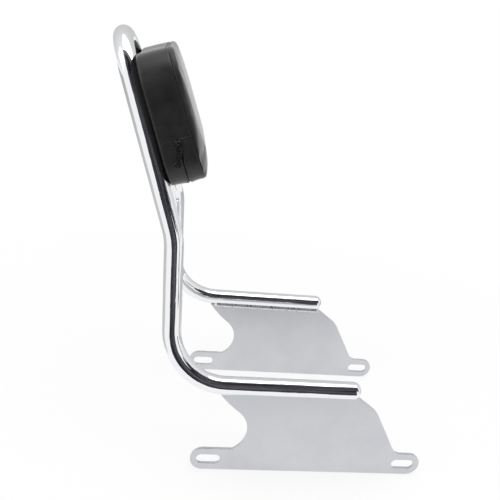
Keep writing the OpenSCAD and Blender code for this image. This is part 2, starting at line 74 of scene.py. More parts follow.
def add(tree, kind, links=(), into=None, stops=(), **settings):
    """Adds a node. A setting names a property or an input socket, a link is (socket, source),
    stops are (position, hex code) of a colour ramp, and the first output may go into a socket."""
    node = tree.nodes.new(kind)
    for key, value in settings.items():
        name = key.replace("_", " ")
        if key in node.inputs or name in node.inputs:
            node.inputs[key if key in node.inputs else name].default_value = value
        else:
            setattr(node, key, value)
    for element, (position, code) in zip(node.color_ramp.elements if stops else (), stops):
        element.position, element.color = position, linear(code)
    for socket, source in links:
        tree.links.new(source, node.inputs[socket])
    if into is not None:
        tree.links.new(node.outputs[0], into)
    return node


def finish_of(name, colour, **settings):
    """A new material whose shader has these settings; returns it with its tree and shader."""
    material = bpy.data.materials.new(name)
    material.use_nodes = True
    shader = material.node_tree.nodes["Principled BSDF"]
    shader.inputs["Base Color"].default_value = linear(colour)
    for key, value in settings.items():
        shader.inputs[key.replace("_", " ")].default_value = value
    return material, material.node_tree, shader


# The camera as it was fitted to the photograph: a focal length of 1.2 times the picture's width
yaw, pitch, roll = np.radians([8.31, 21.24, 7.33])
ahead = np.array([math.sin(yaw) * math.cos(pitch), math.cos(yaw) * math.cos(pitch), -math.sin(pitch)])
level = np.array([math.cos(yaw), -math.sin(yaw), 0])
above = np.cross(level, ahead)
camera_right = level * math.cos(roll) + above * math.sin(roll)
camera_up = above * math.cos(roll) - level * math.sin(roll)
lens = bpy.data.cameras.new("camera")
lens.sensor_width = 36
lens.lens = 43.2
camera = bpy.data.objects.new("camera", lens)
turned = np.eye(4)
turned[:3] = np.column_stack([camera_right, camera_up, -ahead, [-0.1336, -0.7105, 0.5327]])
camera.matrix_world = Matrix(turned.tolist())
scene.collection.objects.link(camera)
scene.camera = camera


def seen_white(tree):
    """Two factors of the ray: 1 for the camera's and those through glass, then for mirrors' too."""
    ray = add(tree, "ShaderNodeLightPath")
    camera_ray, through = ray.outputs["Is Camera Ray"], ray.outputs["Is Transmission Ray"]
    clear = add(tree, "ShaderNodeMath", [(0, camera_ray), (1, through)], operation="MAXIMUM")
    seen = add(tree, "ShaderNodeMath", [(0, clear.outputs[0]), (1, ray.outputs["Is Glossy Ray"])],
               operation="MAXIMUM")
    return clear, seen


world = bpy.data.worlds.new("white_room")
world.use_nodes = True
scene.world = world
room = world.node_tree
room.nodes.clear()
clear, seen = seen_white(room)
dim = add(room, "ShaderNodeBackground", Color=linear("F8F8F8"), Strength=0.72)
plain = add(room, "ShaderNodeBackground", Color=(1, 1, 1, 1), Strength=1.0)
# Mirrors see the walls behind the object in a light grey, which draws the edges of the tubes
way = add(room, "ShaderNodeTexCoord")
parts = add(room, "ShaderNodeSeparateXYZ", [(0, way.outputs["Generated"])])
behind = add(room, "ShaderNodeMapRange", [("Value", parts.outputs["Y"])],
             From_Min=-0.5, From_Max=0.95, To_Min=1.0, To_Max=0.62)
add(room, "ShaderNodeMath", [(0, behind.outputs[0]), (1, clear.outputs[0])], plain.inputs["Strength"],
    operation="MAXIMUM")
both = add(room, "ShaderNodeMixShader", [(0, seen.outputs[0]), (1, dim.outputs[0]), (2, plain.outputs[0])])
add(room, "ShaderNodeOutputWorld", [("Surface", both.outputs[0])])


def card(name, corners, material):
    """A flat card on the stage, given by its four corners in metres."""
    mesh = bpy.data.meshes.new(name)
    mesh.from_pydata(corners, [], [(0, 1, 2, 3)])
    mesh.materials.append(material)
    piece = bpy.data.objects.new(name, mesh)
    scene.collection.objects.link(piece)
    piece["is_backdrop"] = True
    return piece


# Matt white laminate table: it keeps a fifth of the object's shadow and is pure white further out
table_top = bpy.data.materials.new("white_laminate_matt")
table_top.use_nodes = True
tree = table_top.node_tree
tree.nodes.clear()
_, seen = seen_white(tree)
place = add(tree, "ShaderNodeTexCoord")
reach = add(tree, "ShaderNodeVectorMath", [(0, place.outputs["Object"])], operation="LENGTH")
far = add(tree, "ShaderNodeMapRange", [("Value", reach.outputs["Value"])],
          From_Min=0.3, From_Max=0.9, To_Min=0.78, To_Max=1.0)
white = add(tree, "ShaderNodeMath", [(0, far.outputs[0]), (1, seen.outputs[0])], operation="MULTIPLY")
paper = add(tree, "ShaderNodeBsdfDiffuse", Color=(0.93, 0.93, 0.93, 1))
glow = add(tree, "ShaderNodeEmission", Color=(1, 1, 1, 1), Strength=1.0)
mixed = add(tree, "ShaderNodeMixShader", [(0, white.outputs[0]), (1, paper.outputs[0]), (2, glow.outputs[0])])
add(tree, "ShaderNodeOutputMaterial", [("Surface", mixed.outputs[0])])
floor_reach = 9
card("floor", [(x * floor_reach, y * floor_reach, 0) for x, y in ((-1, -1), (1, -1), (1, 1), (-1, 1))],
     table_top)


def lying(left, right, near, far):
    """Corners of a card that lies on the table, 4 mm over it."""
    return [(left, near, 0.004), (right, near, 0.004), (right, far, 0.004), (left, far, 0.004)]


# Dark cloth over board, brownish and bluish in patches as the dim half of a workshop, and grey
# card. The camera doesn't see them and they cast no shadow: they only show in the metal.
dark_cloth, tree, shader = finish_of("dark_cloth_flag", "1C1C20", Roughness=1.0)
shader.inputs["Specular IOR Level"].default_value = 0.0
place = add(tree, "ShaderNodeTexCoord")
patches = add(tree, "ShaderNodeTexNoise", [("Vector", place.outputs["Object"])], Scale=2.2, Detail=2.0)
add(tree, "ShaderNodeValToRGB", [("Fac", patches.outputs["Fac"])], shader.inputs["Base Color"],
    stops=[(0.35, "191C24"), (0.7, "5F5C60")])
dim_card, _, _ = finish_of("dim_grey_card", "77787A", Roughness=1.0)
grey_card, _, _ = finish_of("grey_card", "C4C5C6", Roughness=1.0)
for name, corners, material in (
    ("flag_on_table",
     [(-0.28, -0.417, 0.004), (0.33, -0.417, 0.004), (0.8, -1.3, 0.004), (-0.74, -1.3, 0.004)], dark_cloth),
    ("flag_front", [(-0.74, -1.3, 0), (0.8, -1.3, 0), (0.8, -1.35, 0.92), (-0.74, -1.35, 0.92)], dark_cloth),
    ("flag_over_camera", [(-0.74, -1.3, 0.9), (1.6, -1.2, 0.6), (1.5, -0.6, 1.36), (-0.74, -0.6, 1.36)],
     dark_cloth),
    ("flag_edge", [(-0.74, -0.6, 1.36), (1.5, -0.6, 1.36), (1.5, -0.4, 1.45), (-0.74, -0.4, 1.45)], dim_card),
    ("flag_right", [(1.25, -0.71, 0), (1.31, -0.54, 0), (1.31, -0.54, 1), (1.25, -0.71, 1)], dark_cloth),
    ("card_behind", lying(-2.4, 1.6, 0.34, 2.2), grey_card),
    ("card_left", lying(-2.4, -0.3, -0.12, 0.34), grey_card),
    ("card_right", lying(0.35, 1.25, -0.1, 0.34), grey_card),
):
    flag = card(name, corners, material)
    flag.visible_camera = False
    flag.visible_diffuse = False
    flag.visible_shadow = False

for name, place, aim, size, power in (
    ("soft_box_above", (0.1, -0.25, 1.7), (0, 0, 0.2), 1.5, 13),
    ("soft_box_left", (-1.5, -0.5, 1.1), (0, 0, 0.2), 0.9, 5),
):
    lamp = bpy.data.lights.new(name, "AREA")
    lamp.shape = "SQUARE"
    lamp.size = size
    lamp.energy = power
    light = bpy.data.objects.new(name, lamp)
    back = np.array(place) - np.array(aim)
    back /= np.linalg.norm(back)
    side = np.cross([0.2, 1, 0.1], back)
    side /= np.linalg.norm(side)
    turned = np.eye(4)
    turned[:3] = np.column_stack([side, np.cross(back, side), back, place])
    light.matrix_world = Matrix(turned.tolist())
    scene.collection.objects.link(light)

# The hoop
# One steel tube of 22 by 2 mm, bent cold on a mandrel, polished and chrome plated. A domed
# cap is welded into each open end, and the joint is ground flush before plating.

origin_x = 65.3798
tube_r, cap_dome, lower_r, upper_r, loop_r = 11.0, 9.0, 68.0, 85.0, 48.0
half_rails, half_uprights, rail_z, setback = 117.0, 82.0, 127.0, 54.5
leg_length, leg_lean, upright_length, lean = 167.0, math.radians(2.8), 214.0, math.radians(19.4)
rail_end, lower_bend = [166.0, -half_rails, rail_z], [-setback, -half_rails, rail_z]
upper_bend = np.array([-setback - leg_length * math.sin(leg_lean), -half_uprights,
                       rail_z + leg_length * math.cos(leg_lean)])
slope_x = np.array([math.cos(lean), 0, math.sin(lean)])
slope_z = np.array([-math.sin(lean), 0, math.cos(lean)])
loop_centre = upright_length - loop_r
inward = math.acos(loop_r / math.hypot(half_uprights, loop_centre)) - math.atan2(loop_centre, half_uprights)
peak = upper_bend * [1, 0, 1] + slope_z * half_uprights / math.tan(inward)


def unit(v):
    """Vectors of length one, along the last axis."""
    return v / np.linalg.norm(v, axis=-1, keepdims=True)


def bent_line(corners, radii, step=1.5):
    """Line through corners with an arc in each inner one. An arc starts r tan(a/2) before its
    corner and is start + r sin(t) A + r (1 - cos(t)) N, with A the way in and N square to it."""
    line = [np.array(corners[:1], float)]
    for p, q, s, r in zip(corners, corners[1:], corners[2:], radii):
        p, q, s = map(np.asarray, (p, q, s))
        a, b = unit(q - p), unit(s - q)
        angle = math.acos(a @ b)
        t = np.linspace(0, angle, 2 + int(math.degrees(angle) / step))[:, None]
        start, n = q - a * r * math.tan(angle / 2), unit(b - (a @ b) * a)
        line.append(start + r * np.sin(t) * a + r * (1 - np.cos(t)) * n)
    return np.vstack(line + [np.array(corners[-1:], float)])


def circle(radius, count=64):
    """A ring of points in the profile's plane."""
    a = np.linspace(0, 2 * np.pi, count, endpoint=False)
    return radius * np.column_stack([np.cos(a), np.sin(a)])


def carry(line, profile, across):
    """Sweeps a closed profile along a line: P + a A + b B, where T is the line's direction,
    A is across x T made unit and B is T x A. The profile is one loop, or one for each point."""
    direction = unit(np.gradient(line, axis=0))
    a = unit(np.cross(np.broadcast_to(across, line.shape), direction))
    b = np.cross(direction, a)
    profile = np.broadcast_to(profile, (len(line),) + np.shape(profile)[-2:])
    return line[:, None] + profile[..., :1] * a[:, None] + profile[..., 1:] * b[:, None]


def rings(points):
    """Faces between neighbouring rings of an array (rings, points in a ring, 3), ends closed."""
    n, m = points.shape[:2]
    i = np.arange(n * m).reshape(n, m)
    j = np.roll(i, -1, axis=1)
    faces = np.stack([i[:-1], j[:-1], j[1:], i[1:]], axis=-1).reshape(-1, 4).tolist()
    return faces + [i[0].tolist(), i[-1].tolist()]


def joined(shapes):
    """Points and faces of several closed shapes, (points, faces) each, as those of one piece."""
    start = np.cumsum([0] + [len(points) for points, _ in shapes]).tolist()
    faces = [[v + k for v in face] for (_, own), k in zip(shapes, start) for face in own]
    return np.vstack([points for points, _ in shapes]), faces


def put(name, points, faces, material, stands_for=(), body="frame", crease=40, even=False):
    """Makes a closed piece from points in the frame of the part's source. Doubles are merged
    and normals recalculated; edges sharper than crease degrees stay sharp."""
    mesh = bpy.data.meshes.new(name)
    mesh.from_pydata(((np.reshape(points, (-1, 3)) - [origin_x, 0, 0]) * 0.001).tolist(), [], faces)
    work = bmesh.new()
    work.from_mesh(mesh)
    bmesh.ops.remove_doubles(work, verts=work.verts, dist=1e-6)
    bmesh.ops.recalc_face_normals(work, faces=work.faces)
    work.to_mesh(mesh)
    work.free()
    mesh.polygons.foreach_set("use_smooth", np.ones(len(mesh.polygons), bool))
    mesh.set_sharp_from_angle(angle=math.radians(crease))
    mesh.materials.append(material)
    piece = bpy.data.objects.new(name, mesh)
    scene.collection.objects.link(piece)
    if even:
        piece.modifiers.new("flat_faces", "WEIGHTED_NORMAL").keep_sharp = True
    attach(piece, body)
    if stands_for:
        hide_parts(*stands_for)
    return piece


# Chrome over buffed steel: a mirror with a faint haze, long buffing waves and hair scratches.
# The waves are some 60 mm long and about 0.1 mm deep, the streaks of the buffing wheel run
# along the tube, 4 mm wide and 80 mm long, and the scratches are about 1 mm apart.
chrome, tree, shader = finish_of("chrome_plated_steel_buffed", "F1F2F4", Metallic=1.0, Roughness=0.045)
place = add(tree, "ShaderNodeTexCoord")
haze = add(tree, "ShaderNodeTexNoise", [("Vector", place.outputs["Object"])], Scale=45.0, Detail=5.0)
add(tree, "ShaderNodeMapRange", [("Value", haze.outputs["Fac"])], shader.inputs["Roughness"],
    From_Min=0.35, From_Max=0.75, To_Min=0.03, To_Max=0.085)
waves = add(tree, "ShaderNodeTexNoise", [("Vector", place.outputs["Object"])], Scale=16.0, Detail=1.0)
lines = add(tree, "ShaderNodeTexNoise", [("Vector", place.outputs["Object"])], Scale=900.0, Detail=2.0)
on_tube = add(tree, "ShaderNodeAttribute", attribute_name="along_tube")
drawn = add(tree, "ShaderNodeMapping", [("Vector", on_tube.outputs["Vector"])], Scale=(0.013, 0.26, 0.26))
streaks = add(tree, "ShaderNodeTexNoise", [("Vector", drawn.outputs[0])], Scale=1.0, Detail=3.0)
buffed = add(tree, "ShaderNodeBump", [("Height", waves.outputs["Fac"])], Strength=0.25, Distance=0.0012)
buffed = add(tree, "ShaderNodeBump", [("Height", streaks.outputs["Fac"]), ("Normal", buffed.outputs[0])],
             Strength=1.0, Distance=0.00016)
add(tree, "ShaderNodeBump", [("Height", lines.outputs["Fac"]), ("Normal", buffed.outputs[0])],
    shader.inputs["Normal"], Strength=0.03, Distance=0.0002)

left = np.array([1, -1, 1])
corners = [rail_end, lower_bend, upper_bend, peak, upper_bend * left, lower_bend * left, rail_end * left]
hoop_line = bent_line(corners, [lower_r, upper_r, loop_r, upper_r, lower_r])
hoop = carry(hoop_line, circle(tube_r, 72), slope_x)
tube = put("hoop", hoop, rings(hoop), chrome, ["hoop_tube"])

# Each point's place on the tube, (length along it, and across it as in the profile), in mm
length = np.concatenate([[0], np.cumsum(np.linalg.norm(np.diff(hoop_line, axis=0), axis=1))])
spots = np.zeros(hoop.shape)
spots[..., 0] = length[:, None]
spots[..., 1:] = circle(tube_r, 72)
tube.data.attributes.new("along_tube", "FLOAT_VECTOR", "POINT").data.foreach_set("vector", spots.ravel())


def spun(profile, count=64):
    """A profile of (distance along X, radius) turned about X."""
    along, radius = np.array(profile, float).T
    y, z = circle(1, count).T
    return np.stack([np.broadcast_to(along[:, None], (len(along), count)),
                     radius[:, None] * y, radius[:, None] * z], axis=-1)


# The cap's dome is a half ellipse, 11 by 9, with the ghost of the ground weld 1 mm behind it
rise = np.radians(np.arange(0, 90, 6))
dome = [(-3, 9), (-3, 10.9), (-1.6, 11.03), (-1.2, 10.93), (-0.8, 11.03)]
dome += [(cap_dome * math.sin(a), 11.03 * math.cos(a)) for a in rise] + [(cap_dome, 0.05)]
for side, name in ((-1, "right"), (1, "left")):
    cap = spun(dome) + np.array(rail_end) * [1, -side, 1]
    put(name + "_dome", cap, rings(cap), chrome, [name + "_end_cap"])

# The side plates
# Two mirrored plates of 3.5 mm mild steel, laser cut, edges broken by tumbling, then plated
# over a fine ground face, so they are satin and not mirror bright.

plate_t, plate_y, ear_h, slot_spacing, slot_l, slot_w = 3.5, 112.5, 32.0, 253.0, 30.0, 13.0
notch, notch_r, shoulder_r, shoulder_angle = np.array([10.0, 60.5]), 34.0, 150.0, 52.0
tip, foot, plate_top = np.array([174.5, 116.35]), np.array([239.5, ear_h]), 116.35
brow = np.array([203.0, plate_top - 21])
ear_r, ear_reach, foot_r, brow_r, under_tube = ear_h / 2, 22.5, 14.0, 42.0, 118.4


def arc(centre, radius, start, end, count=20):
    """Points on a circle between two angles in degrees."""
    a = np.radians(np.linspace(start, end, count))
    return np.asarray(centre) + radius * np.column_stack([np.cos(a), np.sin(a)])


def rounded(corner, a, b, radius):
    """The round in a corner between the directions a and b, touching both sides."""
    half = math.acos(a @ b) / 2
    centre = corner + unit(a + b) * radius / math.sin(half)
    first, last = (corner + way * radius / math.tan(half) - centre for way in (a, b))
    start = math.degrees(math.atan2(first[1], first[0]))
    turn = (math.degrees(math.atan2(last[1], last[0])) - start + 180) % 360 - 180
    return arc(centre, radius, start, start + turn, 12)


def slot_loop(at, length, width):
    """A slot with round ends."""
    d = (length - width) / 2
    return np.vstack([arc((at[0] + d, at[1]), width / 2, -90, 90, 16),
                      arc((at[0] - d, at[1]), width / 2, 90, 270, 16)])


def cut_sheet(loops, thickness, edge):
    """A flat sheet cut to closed loops, its edges rounded by edge: points with the thickness
    along the third axis, and faces. The first loop is the outline and the others are holes."""
    curve = bpy.data.curves.new("sheet", "CURVE")
    curve.dimensions = "2D"
    curve.fill_mode = "BOTH"
    curve.extrude = thickness / 2 - edge
    curve.bevel_depth = edge
    curve.bevel_resolution = 2
    curve.offset = -edge
    for loop in loops:
        spline = curve.splines.new("POLY")
        spline.points.add(len(loop) - 1)
        flat = np.column_stack([loop, np.zeros(len(loop)), np.ones(len(loop))])
        spline.points.foreach_set("co", flat.ravel())
        spline.use_cyclic_u = True
    holder = bpy.data.objects.new("sheet", curve)
    scene.collection.objects.link(holder)
    mesh = bpy.data.meshes.new_from_object(holder.evaluated_get(bpy.context.evaluated_depsgraph_get()))
    points = np.empty(len(mesh.vertices) * 3)
    mesh.vertices.foreach_get("co", points)
    faces = [list(p.vertices) for p in mesh.polygons]
    bpy.data.objects.remove(holder)
    bpy.data.curves.remove(curve)
    bpy.data.meshes.remove(mesh)
    return points.reshape(-1, 3), faces


# Plated over a ground face: satin, with the grinder's lines 0.3 mm apart along the plate
satin, tree, shader = finish_of("satin_plated_steel_ground", "C9CBCE", Metallic=1.0, Roughness=0.36)
place = add(tree, "ShaderNodeTexCoord")
grain_way = add(tree, "ShaderNodeMapping", [("Vector", place.outputs["Object"])], Scale=(60.0, 900.0, 3000.0))
grain = add(tree, "ShaderNodeTexNoise", [("Vector", grain_way.outputs[0])], Scale=1.0, Detail=3.0)
cloud = add(tree, "ShaderNodeTexNoise", [("Vector", place.outputs["Object"])], Scale=22.0, Detail=4.0)
add(tree, "ShaderNodeValToRGB", [("Fac", cloud.outputs["Fac"])], shader.inputs["Base Color"],
    stops=[(0.3, "CBCDD2"), (0.75, "DADBDD")])
add(tree, "ShaderNodeMapRange", [("Value", cloud.outputs["Fac"])], shader.inputs["Roughness"],
    From_Min=0.3, From_Max=0.7, To_Min=0.31, To_Max=0.43)
add(tree, "ShaderNodeBump", [("Height", grain.outputs["Fac"])],
    shader.inputs["Normal"], Strength=0.08, Distance=0.0003)

down, up, along = unit(foot - brow), unit(tip - brow), np.array([1.0, 0.0])
shoulder = arc(notch, notch_r + shoulder_r, shoulder_angle, shoulder_angle, 1)[0]
tail = -180 + math.degrees(math.asin((shoulder[1] - plate_top) / shoulder_r))
low = math.degrees(math.asin((ear_h - notch[1]) / notch_r))
outline = np.vstack([
    arc((slot_spacing + ear_reach - ear_r, ear_r), ear_r, -90, 90, 28), rounded(foot, along, -down, foot_r),
    rounded(brow, down, up, brow_r), [tip, [165, under_tube], [9, under_tube]],
    arc(shoulder, shoulder_r, tail, shoulder_angle - 180, 24),
    arc(notch, notch_r, shoulder_angle, low, 40)[1:], arc((ear_r - ear_reach, ear_r), ear_r, 90, 270, 28),
])
slots = [slot_loop((x, ear_r), slot_l, slot_w) for x in (0, slot_spacing)]
plate, plate_faces = cut_sheet([outline] + slots, plate_t, 0.45)
for side, name in ((-1, "right"), (1, "left")):
    points = np.column_stack([plate[:, 0], side * plate_y - plate[:, 2], plate[:, 1]])
    put(name + "_plate", points, plate_faces, satin, [name + "_side_plate"], crease=50,
        even=True)

# The rail beads
# A hand laid fillet of weld fills the groove between each rail and the inner face of its
# plate. It was left as laid, with its ripples some 3 mm apart, and plated over.

# Plated weld, 1 to 3 mm across: slag marks and painted shade darken the pits, and a painted highlight
# lightens the crests
weld, tree, shader = finish_of("satin_plated_weld_bead", "BDBFC2", Metallic=1.0, Roughness=0.34)
place = add(tree, "ShaderNodeTexCoord")
pits_with_painted_shade = add(tree, "ShaderNodeTexNoise", [("Vector", place.outputs["Object"])], Scale=420.0, Detail=5.0)
# The colour follows the bump's noise: painted shade where it is low, painted highlight where it is high
add(tree, "ShaderNodeValToRGB", [("Fac", pits_with_painted_shade.outputs["Fac"])], shader.inputs["Base Color"],
    stops=[(0.34, "86878A"), (0.46, "E6E8EA")])
add(tree, "ShaderNodeBump", [("Height", pits_with_painted_shade.outputs["Fac"])],
    shader.inputs["Normal"], Strength=0.5, Distance=0.0005)


def bead(start, end, radius, across, seed, step=0.5):
    """A weld bead: a round bar whose radius ripples every 3.1 mm, |sin|, and wanders with
    smoothed random steps, tapering over its last 3 mm."""
    chance = np.random.default_rng(seed)
    length = np.linalg.norm(np.subtract(end, start))
    x = np.arange(0, length + step, step)
    soft = np.convolve(chance.normal(0, 1, len(x) + 22), np.hanning(23) / 6, "same")[11:11 + len(x)]
    size = radius * (0.86 + 0.1 * np.abs(np.sin(np.pi * (x + soft) / 3.1)) + 0.045 * soft)
    size *= np.clip(np.minimum(x + 0.3, length - x + 0.3) / 3, 0.05, 1) ** 0.5
    line = np.asarray(start, float) + unit(np.subtract(end, start)) * x[:, None]
    return carry(line, circle(1, 20)[None] * size[:, None, None], across)


for side, name, seed in ((-1, "right", 4), (1, "left", 9)):
    y = side * (plate_y - plate_t / 2 - 0.5)
    points = bead((8, y, plate_top + 0.2), (172, y, plate_top + 0.2), 3.3, (0, 1, 0), seed)
    put(name + "_rail_bead", points, rings(points), weld, [name + "_plate_weld"], crease=70)

# The cross straps
# Two flat bars of 24 by 4 mm welded between the uprights carry the pad. The front of each
# strap is level with the tubes, and its ends are cut to the tubes' inward lean.

strap_t, strap_h, screw_spacing, low_strap, high_strap = 4.0, 24.0, 50.0, 84.0, 152.0
strap_end = math.sqrt(tube_r ** 2 - (tube_r - strap_t) ** 2)
base = upper_bend * [1, 0, 1]


def on_slope(points):
    """Points of the uprights' plane, (forwards, left, up the slope), in the bar's own frame."""
    p = np.asarray(points, float)
    return base + p[..., :1] * slope_x + p[..., 1:2] * [0, 1, 0] + p[..., 2:] * slope_z


for name, s, seed in (("upper", high_strap, 21), ("lower", low_strap, 33)):
    low, high = (half_uprights - (s + d) * math.tan(inward) - strap_end / math.cos(inward) + 0.6
                 for d in (-strap_h / 2, strap_h / 2))
    below, over = s - strap_h / 2, s + strap_h / 2
    loops = [np.array([[-low, below], [low, below], [high, over], [-high, over]])]
    loops += [arc((side * screw_spacing / 2, s), 3.3, 0, 350, 36) for side in (-1, 1)]
    strap, faces = cut_sheet(loops, strap_t, 0.5)
    points = on_slope(np.column_stack([tube_r - strap_t / 2 + strap[:, 2], strap[:, 0], strap[:, 1]]))
    put(name + "_strap", points, faces, satin, [name + "_cross_strap"], crease=50, even=True)
    ends = []
    for side in (-1, 1):
        for forward, size in ((tube_r - strap_t - 0.2, 2.5), (tube_r - 1.9, 1.9)):
            a, b = ((forward, side * (half_uprights - z * math.tan(inward) - strap_end / math.cos(inward)), z)
                    for z in (s - 11, s + 11))
            points = bead(on_slope(a), on_slope(b), size, slope_x, seed + side + int(size))
            ends.append((points.reshape(-1, 3), rings(points)))
    points, faces = joined(ends)
    put(name + "_strap_beads", points, faces, weld, [name + "_strap_welds"], crease=70)

# The pad's board and its screws
# A 9 mm birch plywood board stiffens the pad. Four steel inserts with a flange sit in it,
# and hexagon screws with a spring washer and a flat washer reach them through the straps.

# Rotary cut birch plywood, raw: a pale face with fibres 0.7 mm wide and 25 mm long
birch, tree, shader = finish_of("birch_plywood_raw", "D8B98A", Roughness=0.72)
place = add(tree, "ShaderNodeTexCoord")
fibre_way = add(tree, "ShaderNodeMapping", [("Vector", place.outputs["Object"])],
                Scale=(1500.0, 40.0, 1500.0))
fibre = add(tree, "ShaderNodeTexNoise", [("Vector", fibre_way.outputs[0])], Scale=1.0, Detail=4.0)
add(tree, "ShaderNodeValToRGB", [("Fac", fibre.outputs["Fac"])], shader.inputs["Base Color"],
    stops=[(0.0, "A98254"), (1.0, "E2C698")])
add(tree, "ShaderNodeBump", [("Height", fibre.outputs["Fac"])],
    shader.inputs["Normal"], Strength=0.2, Distance=0.0003)

# Zinc plated steel, passivated: light grey with a faint bluish mottle
zinc, tree, shader = finish_of("zinc_plated_steel", "B9BDC2", Metallic=1.0, Roughness=0.38)
place = add(tree, "ShaderNodeTexCoord")
mottle = add(tree, "ShaderNodeTexNoise", [("Vector", place.outputs["Object"])], Scale=700.0, Detail=4.0)
add(tree, "ShaderNodeValToRGB", [("Fac", mottle.outputs["Fac"])], shader.inputs["Base Color"],
    stops=[(0.0, "9FA5AC"), (1.0, "CFD2D6")])
add(tree, "ShaderNodeBump", [("Height", mottle.outputs["Fac"])],
    shader.inputs["Normal"], Strength=0.15, Distance=0.0002)

for name, material in (("pad_base_board", birch), ("pad_screws", zinc), ("spring_washers", zinc),
                       ("flat_washers", zinc), ("threaded_inserts", zinc)):
    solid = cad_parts[name]
    solid.data.materials.clear()
    solid.data.materials.append(material)

# The pad's cover
# Black leatherette, a soft vinyl skin on knitted cloth, sewn over firm foam. A crowned front
# panel meets the side band in a seam that is stitched down behind it, and the back is flat.

pad_low, pad_w, pad_h, corner_r, cover_t = 51.0, 172.0, 143.0, 35.0, 1.2
depth_low, depth_high, zip_top, zip_depth = 39.0, 35.0, 55.0, 21.0
half_flat, flat_side, quarter = pad_w / 2 - corner_r, pad_h - 2 * corner_r, corner_r * math.pi / 2
knots = np.cumsum([0, half_flat, quarter, flat_side, quarter, 2 * half_flat, quarter, flat_side, quarter,
                   half_flat])
around = knots[-1]


def on_pad(points):
    """Points of the pad, (forwards from its back, left, up from its foot), in the bar's frame."""
    return on_slope(np.asarray(points, float) + [tube_r, 0, pad_low])


def rim(a, out):
    """(left, up) on the pad's outline at arc length a from the middle of the foot, moved
    outwards by out: a base point on the inner rectangle plus (r + out) at the angle phi.
    Base and phi are linear in a. The straight sides pull in by 1.3 mm in their middle."""
    a = np.mod(a, around)
    y = np.interp(a, knots, np.array([0, 1, 1, 1, 1, -1, -1, -1, -1, 0]) * half_flat)
    z = np.interp(a, knots, corner_r + np.array([0, 0, 0, 1, 1, 1, 1, 0, 0, 0]) * flat_side)
    phi = np.radians(np.interp(a, knots, [-90, -90, 0, 0, 90, 90, 180, 180, 270, 270]))
    pull = np.cos(np.pi / 2 * y / half_flat) ** 2 + np.sin(np.pi * (z - corner_r) / flat_side) ** 2
    r = corner_r + out - 1.3 * pull
    return y + r * np.cos(phi), z + r * np.sin(phi)


def seam(z):
    """Depth of the front seam at a height: it runs straight from the foot to the head."""
    return depth_low + (depth_high - depth_low) * z / pad_h


def wrap(a, t, out):
    """Points of the side band: arc length a, depth t and distance outwards, as arrays."""
    y, z = rim(a, out)
    return on_pad(np.stack(np.broadcast_arrays(t, y, z), axis=-1))


# Leatherette: soft vinyl with a moulded pebble grain, cells 1.1 mm across with fine creases
# between them, a low gloss, and a grey sheen where it is seen from along the surface
hide, tree, shader = finish_of("black_leatherette_vinyl", "1B1B1D", Roughness=0.42, Sheen_Weight=0.78,
                               Sheen_Roughness=0.3)
shader.inputs["Specular IOR Level"].default_value = 0.45
place = add(tree, "ShaderNodeTexCoord")
cells = add(tree, "ShaderNodeTexVoronoi", [("Vector", place.outputs["Object"])],
            feature="SMOOTH_F1", Scale=900.0, Smoothness=0.35, Randomness=1.0)
fine = add(tree, "ShaderNodeTexNoise", [("Vector", place.outputs["Object"])], Scale=2200.0, Detail=3.0)
soft = add(tree, "ShaderNodeTexNoise", [("Vector", place.outputs["Object"])], Scale=60.0, Detail=3.0)
add(tree, "ShaderNodeValToRGB", [("Fac", soft.outputs["Fac"])], shader.inputs["Base Color"],
    stops=[(0.3, "19191B"), (0.8, "222224")])
add(tree, "ShaderNodeMapRange", [("Value", soft.outputs["Fac"])], shader.inputs["Roughness"],
    From_Min=0.3, From_Max=0.7, To_Min=0.38, To_Max=0.5)
slack = add(tree, "ShaderNodeBump", [("Height", soft.outputs["Fac"])], Strength=0.3, Distance=0.0006)
pebble = add(tree, "ShaderNodeBump", [("Height", cells.outputs["Distance"]), ("Normal", slack.outputs[0])],
             Strength=0.35, Distance=0.00025)
add(tree, "ShaderNodeBump", [("Height", fine.outputs["Fac"]), ("Normal", pebble.outputs[0])],
    shader.inputs["Normal"], Strength=0.15, Distance=0.0001)

# Front panel: rings of the outline. The first rings turn in at the seam, and the rest rise to
# the crown. The next round the edge, 5.4 high and 5.8 at the foot, over a width w. With
# x = inset / w, it is crisp at head and sides, (1 - (1 - x)^3.2)^(1 / 3.2) over 8, and slopes
# away at the foot, below a height of 70: 1 - (1 - x)^2 over 30.
columns = 288
a = np.linspace(0, around, columns, endpoint=False)
chance = np.random.default_rng(7)
pucker = np.convolve(chance.normal(0, 1, len(a)), np.hanning(7) / 3, "same")
u = np.array([0, 0.002, 0.01, 0.04, 0.1, 0.18, 0.3, 0.45, 0.62, 0.8, 1.0])
low = np.clip((70 - rim(a, 0)[1]) / 45, 0, 1)
low = low * low * (3 - 2 * low)
wide = 8 + 22 * low
ringset = []
for lift, out in ((-1.4, -2.6), (-0.5, -1.7), (0.0, -1.2), (0.35, -0.5)):
    y, z = rim(a, out)
    ringset.append(np.stack([seam(z) + lift, y, z], axis=-1))
for inset in [k * wide for k in u] + [wide + 1, wide + 2.5, wide + 4]:
    y, z = rim(a, -inset + 0.05)
    left_over = np.clip(1 - inset / wide, 0, 1)
    rise = (1 - low) * (1 - left_over ** 3.2) ** (1 / 3.2) + low * (1 - left_over ** 2)
    crown = 2.7 * (1 - (1 - inset / 75) ** 2)
    t = seam(z) + 0.8 - 0.4 * low + (5.4 + 0.4 * low) * rise + 0.25 * pucker * np.exp(-inset / 6) + crown
    ringset.append(np.stack([t, y, z], axis=-1))
last = crown
for k in np.linspace(0, 1, 16)[1:]:
    yy, zz = y * (1 - k), pad_h / 2 + (z - pad_h / 2) * (1 - k)
    crown = last + (3.0 - last) * (1 - (1 - k) ** 2)
    if k == 1:
        yy, zz = y * 0.001, pad_h / 2 + (z - pad_h / 2) * 0.001
    ringset.append(np.stack([seam(zz) + 6.2 + crown, yy, zz], axis=-1))
ringset = np.array(ringset)


